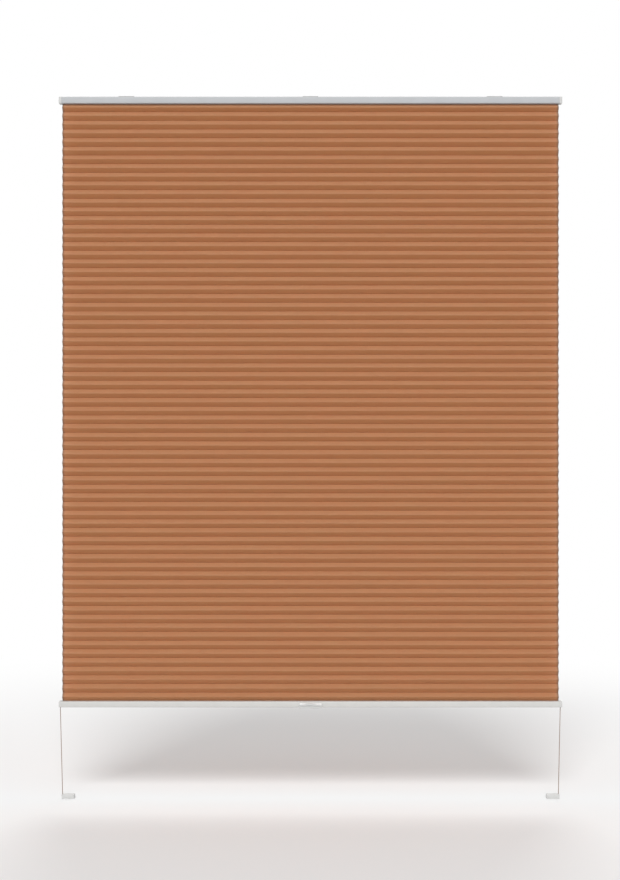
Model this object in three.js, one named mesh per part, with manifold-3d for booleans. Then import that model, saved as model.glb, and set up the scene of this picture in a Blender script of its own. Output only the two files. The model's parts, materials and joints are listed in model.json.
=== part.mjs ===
// A cellular blind: a pack of fabric cells between two rails, kept straight by two tension cords.
//
// Lengths are in millimetres. +Z is up, +X is to the right and the room lies on the -Y side.
// The origin is the middle of the flat face that the headrail's clips are screwed against.
// The blind is drawn let down, with its bottom rail some way above the two feet.

import * as THREE from 'three';
import { mergeVertices } from 'three/addons/utils/BufferGeometryUtils.js';
import Module from 'manifold-3d';

const wasm = await Module();
wasm.setup();

// Fits
const fitGap = 0.3; // between two pieces that seat on or in each other
const cordClearance = 0.5; // round a cord in the hole that guides it
const cutOverrun = 1; // how far a cutting solid passes the face that it cuts

// Fabric
const cellCount = 69;
const cellPitch = 20;
const cellDepth = 22;
const glueLineWidth = 5;
const fabricThickness = 0.45;
const fabricInset = 2; // from the end of a rail's extrusion to the fabric's side
const packNames = ['cell_pack_upper', 'cell_pack_middle', 'cell_pack_lower'];

// Cords
const cordDiameter = 1.4;
const cordSides = 8;
const cordBendRadius = 3;
const cordBendSteps = 4;
const cordInset = 93.5; // from the fabric's side to the cord inside it
const cordHoleWidth = 3; // of the square holes in the glue lines and fabric strips
const cordExitInset = 2.8; // from the outside of the bottom rail's cap to the cord that leaves it
const cordCrossOffset = 3.2; // how far each cord has moved to the front or back where it leaves

// Rails
const railLength = 1151; // of both extrusions, without their caps
const openHeight = 211.4; // from under the feet up to the bottom rail, as it is drawn
const railDepth = 24;
const railCornerRadius = 2;
const railWall = 1.2;
const lipThickness = 1;
const headrailHeight = 15.5;
const bottomRailHeight = 13.5;
const stripOpening = 8; // between the lips that hold a fabric strip
const fixingOpening = 11; // between the lips that hold the clips or the pull handle
const headrailFixingChannel = 3.2; // height of the channel for the clips
const bottomRailFixingChannel = 2.2; // height of the channel for the pull handle
const railCurveSegments = 4;

// Rail caps
const capThickness = 6;
const capEdgeRadius = 0.8;
const capPlugLength = 8;

// Fabric strips
const stripBaseWidth = 17;
const stripBaseThickness = 1.2;
const stripStandOut = 0.5; // how far a strip stands out of its rail

// Clips
const clipLength = 36;
const clipPlateWidth = 20;
const clipPlateThickness = 1.2;
const clipFlangeWidth = 16;
const clipFlangeThickness = 1.2;
const clipFlangeChamfer = 0.6;
const clipScrewSpacing = 22;
const clipEndInset = 150; // from the end of the headrail to the middle of an outer clip

// Screw holes
const screwHoleDiameter = 3.6;
const screwHeadDiameter = 6.8;
const screwHoleSides = 16;

// Tension springs
const springMeanDiameter = 4.6;
const springWireDiameter = 1;
const springCurls = 24;
const springCurlPitch = 2.6;
const springLead = 4; // straight wire at each end
const springStepsPerCurl = 8;
const springWireSides = 5;
const springLeastGap = 0.4;
const anchorLength = 28;
const ferruleLength = 9;
const ferruleDiameter = 4.4;
const ferruleEdge = 0.6;
const ferruleSides = 12;

// Cord guides
const guideLength = 14;
const guideChamfer = 1.5;

// Pull handle
const handleLength = 53;
const handleFootWidth = 16;
const handleFootThickness = 1;
const handlePlateThickness = 1.4;
const handleTopDrop = 2.4; // from the top of the bottom rail to the top of the handle
const handleGripHeight = 7;
const handleGripReach = 4;
const handleGripRim = 0.9; // left above and below the hollow for the thumb
const handleGripEnd = 9.5; // left at either end of the hollow
const handleHollowDepth = 1.6;
const handleHollowSides = 24;
const handleCornerRadius = 3;
const handleEndRadius = 4; // of the grip's ends, seen from above

// Feet
const footLength = 30;
const footDepth = 18;
const footHeight = 9.5;
const footCornerRadius = 3;
const footEdgeRadius = 1.2;
const footWall = 1.4;
const footOuterInset = 6; // from the outside of the bottom rail's cap to the end of the foot
const footBaseThickness = 2;
const footRibHeight = 3.5;
const footRibThickness = 1.2;
const footRibLength = 20;
const footRibSpacing = 11;
const footScrewSpacing = 12;
const footScrewShift = 3; // of both screws away from the cord's end of the foot
const footCordInset = 1.6; // from the outer end of the foot to its cord
const knotDiameter = 2.8;
const knotSegments = 10;

// Heights and places that follow from the sizes above
const fabricWidth = railLength - 2 * fabricInset;
const headrailTop = -(clipPlateThickness + fitGap);
const headrailBottom = headrailTop - headrailHeight;
const fabricTop = headrailBottom - stripStandOut - fitGap;
const fabricBottom = fabricTop - cellCount * cellPitch;
const bottomRailTop = fabricBottom - fitGap - stripStandOut;
const bottomRailBottom = bottomRailTop - bottomRailHeight;
const footBottom = bottomRailBottom - openHeight;
const railOuterEnd = railLength / 2 + capThickness;
const cordX = fabricWidth / 2 - cordInset;
const cordExitX = railOuterEnd - cordExitInset;
const footOuterEnd = railOuterEnd - footOuterInset;
const footCordX = footOuterEnd - footCordInset;
const innerDepth = railDepth - 2 * railWall;
const headrailRoom = headrailHeight - 2 * lipThickness - headrailFixingChannel - railWall;
const bottomRailRoom = bottomRailHeight - 2 * lipThickness - bottomRailFixingChannel - railWall;

// The strip's base takes up this much of a rail's room, and what else is inside shares the rest.
const stripRoom = stripBaseThickness + fitGap;
const headrailFreeRoom = headrailRoom - stripRoom - 2 * fitGap;
const bottomRailFreeRoom = bottomRailRoom - stripRoom - 2 * fitGap;
const headrailCordZ = headrailBottom + lipThickness + stripRoom + fitGap + headrailFreeRoom / 2;
const bottomRailCordZ = bottomRailTop - lipThickness - stripRoom - fitGap - bottomRailFreeRoom / 2;

// Materials
function material(color, roughness, metalness = 0) {
  return new THREE.MeshStandardMaterial({ color, roughness, metalness });
}

const fabricCloth = material('#ad7552', 0.95);
const whiteAluminium = material('#e4e3e0', 0.4);
const whitePlastic = material('#ecebe8', 0.5);
const clearPlastic = material('#f2f4f3', 0.2);
const springSteel = material('#a9adb0', 0.35, 1);
const cordYarn = material('#b98a72', 0.9);

// Solids: from closed geometries to manifolds for cutting and joining, and back
function solidOf(geometry) {
  const bare = geometry.clone();
  bare.deleteAttribute('normal');
  bare.deleteAttribute('uv');
  const merged = mergeVertices(bare);
  return new wasm.Manifold(new wasm.Mesh({
    numProp: 3,
    vertProperties: Float32Array.from(merged.attributes.position.array),
    triVerts: Uint32Array.from(merged.index.array),
  }));
}

function geometryOf(solid) {
  const mesh = solid.getMesh();
  const geometry = new THREE.BufferGeometry();
  geometry.setAttribute('position', new THREE.BufferAttribute(mesh.vertProperties, mesh.numProp));
  geometry.setIndex(new THREE.BufferAttribute(mesh.triVerts, 1));
  geometry.computeVertexNormals();
  return geometry;
}

function cut(body, ...cutters) {
  return cutters.reduce((left, cutter) => left.subtract(cutter), body);
}

function fuse(...bodies) {
  return bodies.reduce((all, body) => all.add(body));
}

// Extrusions: a shape drawn in (Y, Z) runs along X, one drawn in (X, Z) runs along Y,
// and one drawn in (X, Y) runs up Z
const axisX = new THREE.Vector3(1, 0, 0);
const axisY = new THREE.Vector3(0, 1, 0);
const axisZ = new THREE.Vector3(0, 0, 1);

function extruded(shape, from, to, bevel = 0) {
  const geometry = new THREE.ExtrudeGeometry(shape, {
    depth: to - from - 2 * bevel,
    bevelEnabled: bevel > 0,
    bevelThickness: bevel,
    bevelSize: bevel,
    bevelOffset: -bevel,
    bevelSegments: 2,
    curveSegments: railCurveSegments,
  });
  return geometry.translate(0, 0, from + bevel);
}

function alongX(shape, from, to, bevel) {
  const turn = new THREE.Matrix4().makeBasis(axisY, axisZ, axisX);
  return solidOf(extruded(shape, from, to, bevel).applyMatrix4(turn));
}

function alongY(shape, from, to) {
  const turn = new THREE.Matrix4().makeBasis(axisX, axisZ, axisY.clone().negate());
  return solidOf(extruded(shape, -to, -from).applyMatrix4(turn));
}

function alongZ(shape, from, to, bevel) {
  return solidOf(extruded(shape, from, to, bevel));
}

function box(x0, x1, y0, y1, z0, z1) {
  const geometry = new THREE.BoxGeometry(x1 - x0, y1 - y0, z1 - z0);
  return solidOf(geometry.translate((x0 + x1) / 2, (y0 + y1) / 2, (z0 + z1) / 2));
}

function outline(points) {
  return new THREE.Shape(points.map(([a, b]) => new THREE.Vector2(a, b)));
}

function roundedRectangle(a0, a1, b0, b1, radius) {
  const shape = new THREE.Shape();
  const quarter = Math.PI / 2;
  shape.absarc(a1 - radius, b1 - radius, radius, 0, quarter);
  shape.absarc(a0 + radius, b1 - radius, radius, quarter, 2 * quarter);
  shape.absarc(a0 + radius, b0 + radius, radius, 2 * quarter, 3 * quarter);
  shape.absarc(a1 - radius, b0 + radius, radius, 3 * quarter, 4 * quarter);
  return shape;
}

// Tubes: a route is a list of ring centres, and the tube has one ring at each
class Route extends THREE.Curve {
  constructor(rings) {
    super();
    this.rings = rings;
  }

  getPoint(share, target = new THREE.Vector3()) {
    const place = share * (this.rings.length - 1);
    const before = Math.min(Math.floor(place), this.rings.length - 2);
    return target.lerpVectors(this.rings[before], this.rings[before + 1], place - before);
  }

  getPointAt(share, target) {
    return this.getPoint(share, target);
  }

  getTangentAt(share, target) {
    return this.getTangent(share, target);
  }
}

function tube(rings, diameter, sides) {
  const section = new THREE.Shape();
  for (let side = 0; side < sides; side += 1) {
    const angle = (2 * Math.PI * side) / sides;
    const x = (diameter / 2) * Math.cos(angle);
    const y = (diameter / 2) * Math.sin(angle);
    if (side === 0) {
      section.moveTo(x, y);
    } else {
      section.lineTo(x, y);
    }
  }
  return solidOf(new THREE.ExtrudeGeometry(section, {
    steps: rings.length - 1,
    extrudePath: new Route(rings),
    bevelEnabled: false,
  }));
}

// Rings of a route whose corners are rounded to the cord's bend radius
function roundedRoute(corners) {
  const rings = [corners[0]];
  corners.slice(1, -1).forEach((corner, index) => {
    const before = corner.clone().sub(corners[index]).normalize();
    const after = corners[index + 2].clone().sub(corner).normalize();
    const start = corner.clone().addScaledVector(before, -cordBendRadius);
    const end = corner.clone().addScaledVector(after, cordBendRadius);
    const centre = start.clone().addScaledVector(after, cordBendRadius);
    for (let step = 0; step <= cordBendSteps; step += 1) {
      const angle = (Math.PI / 2) * (step / cordBendSteps);
      const outwards = after.clone().multiplyScalar(-Math.cos(angle));
      outwards.addScaledVector(before, Math.sin(angle));
      rings.push(centre.clone().addScaledVector(outwards, cordBendRadius));
    }
    rings[rings.length - 1].copy(end);
  });
  rings.push(corners[corners.length - 1]);
  return rings;
}

const parts = new THREE.Group();

function add(name, solid, finish) {
  const mesh = new THREE.Mesh(geometryOf(solid), finish);
  mesh.name = name;
  parts.add(mesh);
}

// The right-hand piece of a pair is drawn, and the left one is it turned half round
function addPair(name, solid, finish) {
  add(`${name}_right`, solid, finish);
  add(`${name}_left`, solid.rotate([0, 0, 180]), finish);
}

// Rail section: an H on its side, with one channel for the fabric strip and one for the fixings.
// It is drawn with the fabric's side down, from the fixings' side at height zero.
function railSection(height, fixingChannel) {
  const half = railDepth / 2;
  const inner = innerDepth / 2;
  const webTop = -(lipThickness + fixingChannel);
  const webBottom = webTop - railWall;
  const lipTop = -(height - lipThickness);
  const radius = railCornerRadius;
  const shape = new THREE.Shape();
  shape.moveTo(-fixingOpening / 2, 0);
  shape.lineTo(-fixingOpening / 2, -lipThickness);
  shape.lineTo(-inner, -lipThickness);
  shape.lineTo(-inner, webTop);
  shape.lineTo(inner, webTop);
  shape.lineTo(inner, -lipThickness);
  shape.lineTo(fixingOpening / 2, -lipThickness);
  shape.lineTo(fixingOpening / 2, 0);
  shape.absarc(half - radius, -radius, radius, Math.PI / 2, 0, true);
  shape.absarc(half - radius, radius - height, radius, 0, -Math.PI / 2, true);
  shape.lineTo(stripOpening / 2, -height);
  shape.lineTo(stripOpening / 2, lipTop);
  shape.lineTo(inner, lipTop);
  shape.lineTo(inner, webBottom);
  shape.lineTo(-inner, webBottom);
  shape.lineTo(-inner, lipTop);
  shape.lineTo(-stripOpening / 2, lipTop);
  shape.lineTo(-stripOpening / 2, -height);
  shape.absarc(radius - half, radius - height, radius, -Math.PI / 2, -Math.PI, true);
  shape.absarc(radius - half, -radius, radius, Math.PI, Math.PI / 2, true);
  return shape;
}

function headrail() {
  const section = railSection(headrailHeight, headrailFixingChannel);
  return alongX(section, -railLength / 2, railLength / 2).translate([0, 0, headrailTop]);
}

function bottomRail() {
  const section = railSection(bottomRailHeight, bottomRailFixingChannel);
  const rail = alongX(section, -railLength / 2, railLength / 2).rotate([180, 0, 0]);
  return rail.translate([0, 0, bottomRailBottom]);
}

// Fabric strips: a tee whose base lies on the rail's lips and whose neck carries the end cell
function fabricStrip(face, direction) {
  const base = face + direction * (stripStandOut + lipThickness + fitGap);
  const top = base + direction * stripBaseThickness;
  const neck = stripOpening / 2 - fitGap;
  const half = stripBaseWidth / 2;
  const tee = outline([
    [-neck, face], [neck, face], [neck, base], [half, base],
    [half, top], [-half, top], [-half, base], [-neck, base],
  ]);
  return cut(alongX(tee, -fabricWidth / 2, fabricWidth / 2), ...cordHoles(face, top));
}

function cordHoles(z0, z1) {
  const low = Math.min(z0, z1) - cutOverrun;
  const high = Math.max(z0, z1) + cutOverrun;
  const half = cordHoleWidth / 2;
  return [-cordX, cordX].map((x) => box(x - half, x + half, -half, half, low, high));
}

// Cell pack: hollow six-sided cells glued to each other along a flat line.
// A cell's panels fall outwards from its upper glue line to the crease and back in to the next.
function cellOpening(top) {
  const rise = cellPitch / 2;
  const run = (cellDepth - glueLineWidth) / 2;
  const panel = Math.hypot(rise, run);
  const crease = cellDepth / 2 - (fabricThickness * panel) / rise;
  const glue = glueLineWidth / 2 - (fabricThickness * (panel - run)) / rise;
  const under = top - fabricThickness;
  const middle = top - rise;
  const over = top - cellPitch + fabricThickness;
  return outline([
    [-glue, under], [-crease, middle], [-glue, over],
    [glue, over], [crease, middle], [glue, under],
  ]);
}

function cellPack(top, cells) {
  const front = [];
  for (let cell = 0; cell < cells; cell += 1) {
    front.push([-glueLineWidth / 2, top - cell * cellPitch]);
    front.push([-cellDepth / 2, top - (cell + 1 / 2) * cellPitch]);
  }
  const bottom = top - cells * cellPitch;
  front.push([-glueLineWidth / 2, bottom]);
  const back = front.map(([y, z]) => [-y, z]).reverse();
  const section = outline([...front, ...back]);
  for (let cell = 0; cell < cells; cell += 1) {
    section.holes.push(cellOpening(top - cell * cellPitch));
  }
  return cut(alongX(section, -fabricWidth / 2, fabricWidth / 2), ...cordHoles(top, bottom));
}

function addCellPacks() {
  let firstCell = 0;
  packNames.forEach((name, index) => {
    const nextFirst = Math.round((cellCount * (index + 1)) / packNames.length);
    add(name, cellPack(fabricTop - firstCell * cellPitch, nextFirst - firstCell), fabricCloth);
    firstCell = nextFirst;
  });
}

// Clips: a plate on the recess, and a flange that the headrail's upper lips slide over
function clip(x) {
  const flangeTop = headrailTop - lipThickness - fitGap;
  const flangeBottom = flangeTop - clipFlangeThickness;
  const neck = fixingOpening / 2 - fitGap;
  const plate = clipPlateWidth / 2;
  const flange = clipFlangeWidth / 2;
  const tee = outline([
    [-plate, 0], [-plate, -clipPlateThickness], [-neck, -clipPlateThickness],
    [-neck, flangeTop], [-flange, flangeTop], [-flange, flangeBottom + clipFlangeChamfer],
    [clipFlangeChamfer - flange, flangeBottom], [flange - clipFlangeChamfer, flangeBottom],
    [flange, flangeBottom + clipFlangeChamfer], [flange, flangeTop], [neck, flangeTop],
    [neck, -clipPlateThickness], [plate, -clipPlateThickness], [plate, 0],
  ]);
  const holes = [-1, 1].map((side) => {
    const hole = screwHole(-flangeBottom).rotate([180, 0, 0]);
    return hole.translate([(side * clipScrewSpacing) / 2, 0, 0]);
  });
  return cut(alongX(tee, -clipLength / 2, clipLength / 2), ...holes).translate([x, 0, 0]);
}

// Countersunk hole from height zero up to a screw head that ends flush at the given height
function screwHole(height) {
  const hole = screwHoleDiameter / 2;
  const head = screwHeadDiameter / 2;
  const cone = head - hole;
  const profile = [
    [0, -cutOverrun], [hole, -cutOverrun], [hole, height - cone],
    [head, height], [head, height + cutOverrun], [0, height + cutOverrun],
  ];
  return turned(profile, screwHoleSides);
}

function turned(profile, sides) {
  const points = profile.map(([radius, height]) => new THREE.Vector2(radius, height));
  return solidOf(new THREE.LatheGeometry(points, sides).rotateX(Math.PI / 2));
}

// Caps: a moulded plate over the rail's end and a plug inside it
function cap(top, height, plugTop, plugBottom) {
  const silhouette = roundedRectangle(
    -railDepth / 2, railDepth / 2, top - height, top, railCornerRadius,
  );
  const inner = railLength / 2;
  const plate = alongX(silhouette, inner - cutOverrun - capEdgeRadius, railOuterEnd, capEdgeRadius);
  const trim = box(
    inner - capThickness, inner, -railDepth, railDepth, top - height - cutOverrun, top + cutOverrun,
  );
  const half = innerDepth / 2 - fitGap;
  const plug = box(inner - capPlugLength, inner + cutOverrun, -half, half, plugBottom, plugTop);
  return fuse(cut(plate, trim), plug);
}

function headrailCap() {
  const middle = headrailCordZ;
  const reach = headrailFreeRoom / 2;
  const block = cap(headrailTop, headrailHeight, middle + reach, middle - reach);
  const inner = railLength / 2;
  const slot = innerDepth / 2 - fitGap - 2 * railWall;
  const hollow = box(
    inner - capPlugLength - cutOverrun, inner, -slot, slot,
    middle - reach - cutOverrun, middle + reach - railWall,
  );
  return cut(block, hollow);
}

function bottomRailCap() {
  const reach = bottomRailFreeRoom / 2;
  const middle = bottomRailCordZ;
  const block = cap(bottomRailTop, bottomRailHeight, middle + reach, middle - reach);
  const channel = cordDiameter / 2 + cordClearance;
  const passage = box(
    railLength / 2 - capPlugLength - cutOverrun, cordExitX + channel,
    cordCrossOffset - channel, cordCrossOffset + channel,
    bottomRailBottom - cutOverrun, middle + channel,
  );
  return cut(block, passage);
}

// Cords
function point(x, y, z) {
  return new THREE.Vector3(x, y, z);
}

const springStartX = anchorLength / 2 - springLead + fitGap;
const springLength = 2 * springLead + (springCurls + 1) * springCurlPitch;
const springEndX = springStartX + springLength;
const ferruleX = springEndX - springLead + fitGap;
const stripFaceAbove = fabricTop + fitGap;
const stripFaceBelow = fabricBottom - fitGap;

function headrailCordRoute() {
  return roundedRoute([
    point(springEndX + fitGap, 0, headrailCordZ),
    point(cordX, 0, headrailCordZ),
    point(cordX, 0, stripFaceAbove),
  ]);
}

// The cord that comes down on the right crosses the bottom rail and leaves it on the left
function railCordRoute(side) {
  return roundedRoute([
    point(side * cordX, 0, stripFaceBelow),
    point(side * cordX, 0, bottomRailCordZ),
    point(-side * cordExitX, -side * cordCrossOffset, bottomRailCordZ),
    point(-side * cordExitX, -side * cordCrossOffset, bottomRailBottom),
  ]);
}

function lowerCordRoute() {
  return [
    point(cordExitX, cordCrossOffset, bottomRailBottom - fitGap),
    point(footCordX, 0, footBottom + footHeight - footWall),
  ];
}

function cord(rings) {
  return tube(rings, cordDiameter, cordSides);
}

function cordPassage(rings) {
  return tube(rings, cordDiameter + 2 * cordClearance, cordSides);
}

// Cord guides: blocks that fill the rail's room and turn the cord from across to down
function guideBlock(middle, room) {
  const low = middle - room / 2;
  const high = middle + room / 2;
  const x0 = cordX - guideLength / 2;
  const x1 = cordX + guideLength / 2;
  const side = outline([
    [x0, low], [x1, low], [x1, high - guideChamfer], [x1 - guideChamfer, high],
    [x0 + guideChamfer, high], [x0, high - guideChamfer],
  ]);
  const half = innerDepth / 2 - fitGap;
  return alongY(side, -half, half);
}

function headrailCordGuide() {
  return cut(guideBlock(headrailCordZ, headrailFreeRoom), cordPassage(headrailCordRoute()));
}

function railCordGuide() {
  const block = guideBlock(bottomRailCordZ, bottomRailFreeRoom);
  return cut(block, cordPassage(railCordRoute(1)), cordPassage(railCordRoute(-1)));
}

// Tension springs: each pulls its cord towards the anchor in the middle of the headrail
function springRings() {
  const rings = [point(springStartX, 0, headrailCordZ)];
  const steps = (springCurls + 1) * springStepsPerCurl;
  const easing = springStepsPerCurl / 2;
  for (let step = 0; step <= steps; step += 1) {
    const angle = (2 * Math.PI * step) / springStepsPerCurl;
    const eased = Math.min(1, step / easing, (steps - step) / easing);
    const radius = (springMeanDiameter / 2) * eased;
    const along = springStartX + springLead + (springCurlPitch * step) / springStepsPerCurl;
    rings.push(point(along, radius * Math.cos(angle), headrailCordZ + radius * Math.sin(angle)));
  }
  rings.push(point(springEndX, 0, headrailCordZ));
  return rings;
}

function leastGap(rings, diameter, apart) {
  let least = Infinity;
  for (let first = 0; first < rings.length; first += 1) {
    for (let second = first + apart; second < rings.length; second += 1) {
      least = Math.min(least, rings[first].distanceTo(rings[second]) - diameter);
    }
  }
  return least;
}

function tensionSpring() {
  const rings = springRings();
  const gap = leastGap(rings, springWireDiameter, springStepsPerCurl - 1);
  console.log(`least gap of a spring to itself: ${gap.toFixed(2)} mm`);
  if (gap < springLeastGap) {
    throw new Error('the spring touches itself');
  }
  return tube(rings, springWireDiameter, springWireSides);
}

function springAnchor() {
  const half = innerDepth / 2 - fitGap;
  const reach = headrailFreeRoom / 2;
  const block = box(
    -anchorLength / 2, anchorLength / 2, -half, half, headrailCordZ - reach, headrailCordZ + reach,
  );
  const bore = springWireDiameter + 2 * fitGap;
  const holes = [-1, 1].map((side) => tube([
    point(side * (springStartX - fitGap), 0, headrailCordZ),
    point(side * (anchorLength / 2 + cutOverrun), 0, headrailCordZ),
  ], bore, cordSides));
  return cut(block, ...holes);
}

// Ferrule: a small barrel that the spring's wire enters at one end and the cord at the other
function springFerrule() {
  const outside = ferruleDiameter / 2;
  const bore = cordDiameter / 2 + fitGap;
  const barrel = turned([
    [bore, 0], [outside - ferruleEdge, 0], [outside, ferruleEdge],
    [outside, ferruleLength - ferruleEdge], [outside - ferruleEdge, ferruleLength],
    [bore, ferruleLength], [bore, 0],
  ], ferruleSides);
  return barrel.rotate([0, 90, 0]).translate([ferruleX, 0, headrailCordZ]);
}

// The hollow for the thumb: a long egg that is sunk into the front of the grip
function thumbHollow(front, middle) {
  const halfLength = handleLength / 2 - handleGripEnd;
  const halfHeight = handleGripHeight / 2 - handleGripRim;
  const egg = new THREE.SphereGeometry(1, handleHollowSides, handleHollowSides / 2);
  egg.rotateZ(Math.PI / 2).scale(halfLength, halfHeight, halfHeight);
  return solidOf(egg).translate([0, front + handleHollowDepth - halfHeight, middle]);
}

// Pull handle: a foot in the bottom rail's lower channel, a plate under the rail and a rounded grip
function pullHandle() {
  const footTop = bottomRailBottom + lipThickness + fitGap + handleFootThickness;
  const footLow = footTop - handleFootThickness;
  const plateTop = bottomRailBottom - fitGap;
  const plateLow = plateTop - handlePlateThickness;
  const neck = fixingOpening / 2 - fitGap;
  const frontInner = -(railDepth / 2 + fitGap);
  const frontOuter = frontInner - handlePlateThickness;
  const top = bottomRailTop - handleTopDrop;
  const from = -handleLength / 2;
  const to = handleLength / 2;
  const innerFrom = from + handleCornerRadius;
  const innerTo = to - handleCornerRadius;
  const half = handleFootWidth / 2;
  const foot = box(innerFrom, innerTo, -half, half, footLow, footTop);
  const stem = box(innerFrom, innerTo, -neck, neck, plateLow, footTop);
  const under = box(innerFrom, innerTo, frontOuter, neck, plateLow, plateTop);
  const front = box(from, to, frontOuter, frontInner, plateLow, top);
  const gripMiddle = top - handleGripHeight / 2;
  const gripFront = frontOuter - handleGripReach;
  const gripShape = new THREE.Shape();
  gripShape.absellipse(
    frontOuter, gripMiddle, handleGripReach, handleGripHeight / 2, Math.PI / 2, (3 * Math.PI) / 2,
  );
  const grip = cut(alongX(gripShape, from, to), thumbHollow(gripFront, gripMiddle));
  const face = roundedRectangle(from, to, plateLow, top, handleCornerRadius);
  const round = alongY(face, gripFront - cutOverrun, frontInner + fitGap / 2);
  const behind = box(from, to, frontInner, half, plateLow, footTop);
  const plan = roundedRectangle(from, to, gripFront, handleFootWidth, handleEndRadius);
  const ends = alongZ(plan, plateLow - cutOverrun, top + cutOverrun);
  const whole = fuse(foot, stem, under, front, grip);
  return whole.intersect(fuse(round, behind)).intersect(ends);
}

// Feet: a base screwed to the recess, a cover over it and the knot that ends the cord
function footBase() {
  const gap = footWall + fitGap;
  const x0 = footOuterEnd - footLength + gap;
  const x1 = footOuterEnd - gap;
  const half = footDepth / 2 - gap;
  const plan = roundedRectangle(x0, x1, -half, half, footCornerRadius - gap);
  const plate = alongZ(plan, 0, footBaseThickness);
  const middle = footOuterEnd - footLength / 2 - footScrewShift;
  const ribs = [-1, 1].map((side) => box(
    middle - footRibLength / 2, middle + footRibLength / 2,
    (side * footRibSpacing) / 2 - footRibThickness / 2,
    (side * footRibSpacing) / 2 + footRibThickness / 2,
    0, footBaseThickness + footRibHeight,
  ));
  const holes = [-1, 1].map((side) => {
    const place = middle + (side * footScrewSpacing) / 2;
    return screwHole(footBaseThickness).translate([place, 0, 0]);
  });
  return cut(fuse(plate, ...ribs), ...holes).translate([0, 0, footBottom]);
}

// The cord's knot slides in at the cover's outer end and hooks under its top
function footCover() {
  const x0 = footOuterEnd - footLength;
  const x1 = footOuterEnd;
  const half = footDepth / 2;
  const plan = roundedRectangle(x0, x1, -half, half, footCornerRadius);
  const block = alongZ(plan, -footEdgeRadius - cutOverrun, footHeight, footEdgeRadius);
  const below = box(x0 - cutOverrun, x1 + cutOverrun, -footDepth, footDepth, -footHeight, 0);
  const room = roundedRectangle(
    x0 + footWall, x1 - footWall, footWall - half, half - footWall, footCornerRadius - footWall,
  );
  const ceiling = footHeight - footWall;
  const hollow = alongZ(room, -cutOverrun, ceiling);
  const slot = cordDiameter / 2 + cordClearance;
  const reach = knotDiameter / 2 + fitGap;
  const entry = box(
    footCordX - slot, x1 + cutOverrun, -slot, slot, ceiling - fitGap, footHeight + cutOverrun,
  );
  const seat = box(footCordX - reach, x1 + cutOverrun, -reach, reach, ceiling - 2 * reach, ceiling);
  return cut(block, below, hollow, entry, seat).translate([0, 0, footBottom]);
}

function footKnot() {
  const ball = new THREE.SphereGeometry(knotDiameter / 2, knotSegments, knotSegments / 2);
  const top = footBottom + footHeight - footWall - fitGap;
  return solidOf(ball).translate([footCordX, 0, top - knotDiameter / 2]);
}

// The blind, from the top down
add('headrail', headrail(), whiteAluminium);
addPair('headrail_cap', headrailCap(), whitePlastic);
add('clip_centre', clip(0), whitePlastic);
addPair('clip', clip(railLength / 2 - clipEndInset), whitePlastic);
add('spring_anchor', springAnchor(), whitePlastic);
addPair('tension_spring', tensionSpring(), springSteel);
addPair('spring_ferrule', springFerrule(), springSteel);
addPair('headrail_cord', cord(headrailCordRoute()), cordYarn);
addPair('headrail_cord_guide', headrailCordGuide(), whitePlastic);
add('top_fabric_strip', fabricStrip(stripFaceAbove, 1), whitePlastic);
addCellPacks();
addPair('cell_cord', cord([point(cordX, 0, fabricTop), point(cordX, 0, fabricBottom)]), cordYarn);
add('bottom_fabric_strip', fabricStrip(stripFaceBelow, -1), whitePlastic);
add('bottom_rail', bottomRail(), whiteAluminium);
addPair('bottom_rail_cap', bottomRailCap(), whitePlastic);
addPair('rail_cord_guide', railCordGuide(), whitePlastic);
addPair('rail_cord', cord(railCordRoute(1)), cordYarn);
add('pull_handle', pullHandle(), clearPlastic);
addPair('lower_cord', cord(lowerCordRoute()), cordYarn);
addPair('foot_base', footBase(), whitePlastic);
addPair('foot_cover', footCover(), whitePlastic);
addPair('foot_knot', footKnot(), cordYarn);

export default parts;
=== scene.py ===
# A tensioned cellular blind: honeycomb cells of cloth between two white rails, on two upright cords.
#
# Lengths are in metres. +Z is up, +X is to the right and the blind's front looks towards -Y.
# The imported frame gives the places; this script gives every visible piece its form and its finish.

import json
import math

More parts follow.
